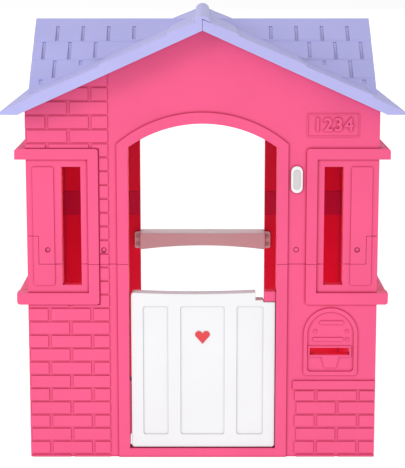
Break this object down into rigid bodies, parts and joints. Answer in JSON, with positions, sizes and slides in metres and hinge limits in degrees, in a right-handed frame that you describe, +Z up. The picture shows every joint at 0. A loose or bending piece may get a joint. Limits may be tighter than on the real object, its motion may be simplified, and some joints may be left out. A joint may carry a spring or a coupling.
{
  "type": "plastic playhouse",
  "caption": "Child-size cottage playhouse with gabled roof, arched doorways, a half door, a counter, window slots and side shutters.",
  "frame": {"origin": "on the floor at the middle of the roof's plan outline", "axes": "+Z up, -Y out of the front doorway, +X towards the mail slot side"},
  "size_m": [1.0454, 0.86, 1.1981],
  "materials": {
    "wall": "satin",
    "roof": "satin",
    "door": "satin",
    "counter": "satin",
    "shutter": "satin",
    "screw": "satin",
    "steel": "satin",
    "badge": "gloss",
    "bell": "gloss",
    "button": "satin",
    "rubber": "matte",
    "board": "matte"
  },
  "bodies": {
    "house": {"front_lower_panel": "wall", "front_upper_panel": "wall", "rear_lower_panel": "wall", "rear_upper_panel": "wall", "left_lower_panel": "wall", "left_upper_panel": "wall", "right_lower_panel": "wall", "right_upper_panel": "wall", "roof_left": "roof", "roof_right": "roof", "ridge_screws": "steel", "seam_screws": "screw", "corner_screws": "steel", "shelf": "counter", "shelf_screws": "steel", "door_hinge_pin": "steel", "door_catch": "wall", "doorbell_housing": "bell", "doorbell_dome": "rubber", "doorbell_board": "board", "doorbell_speaker": "steel", "doorbell_batteries": "steel", "doorbell_cover": "bell", "doorbell_cover_screw": "steel"},
    "door": {"door": "door", "door_badge": "badge"},
    "doorbell_button": {"doorbell_button": "button"},
    "left_front_shutter": {"left_front_shutter": "shutter"},
    "left_rear_shutter": {"left_rear_shutter": "shutter"},
    "right_front_shutter": {"right_front_shutter": "shutter"},
    "right_rear_shutter": {"right_rear_shutter": "shutter"}
  },
  "joints": [
    {"name": "door_hinge", "type": "hinge", "parent": "house", "child": "door", "pos_m": [-0.203, -0.315, 0.14], "axis": [0, 0, 1], "range_deg": [0, 100]},
    {"name": "right_rear_shutter_hinge", "type": "hinge", "parent": "house", "child": "right_rear_shutter", "pos_m": [0.463, 0.1395, 0.6], "axis": [0, 0, 1], "range_deg": [0, 90]},
    {"name": "right_front_shutter_hinge", "type": "hinge", "parent": "house", "child": "right_front_shutter", "pos_m": [0.463, -0.1395, 0.6], "axis": [0, 0, -1], "range_deg": [0, 90]},
    {"name": "left_rear_shutter_hinge", "type": "hinge", "parent": "house", "child": "left_rear_shutter", "pos_m": [-0.463, 0.1395, 0.6], "axis": [0, 0, -1], "range_deg": [0, 90]},
    {"name": "left_front_shutter_hinge", "type": "hinge", "parent": "house", "child": "left_front_shutter", "pos_m": [-0.463, -0.1395, 0.6], "axis": [0, 0, 1], "range_deg": [0, 90]},
    {"name": "doorbell_press", "type": "slide", "parent": "house", "child": "doorbell_button", "axis": [0, 1, 0], "range_m": [0, 0.0015], "stiffness_N_per_m": 300}
  ]
}
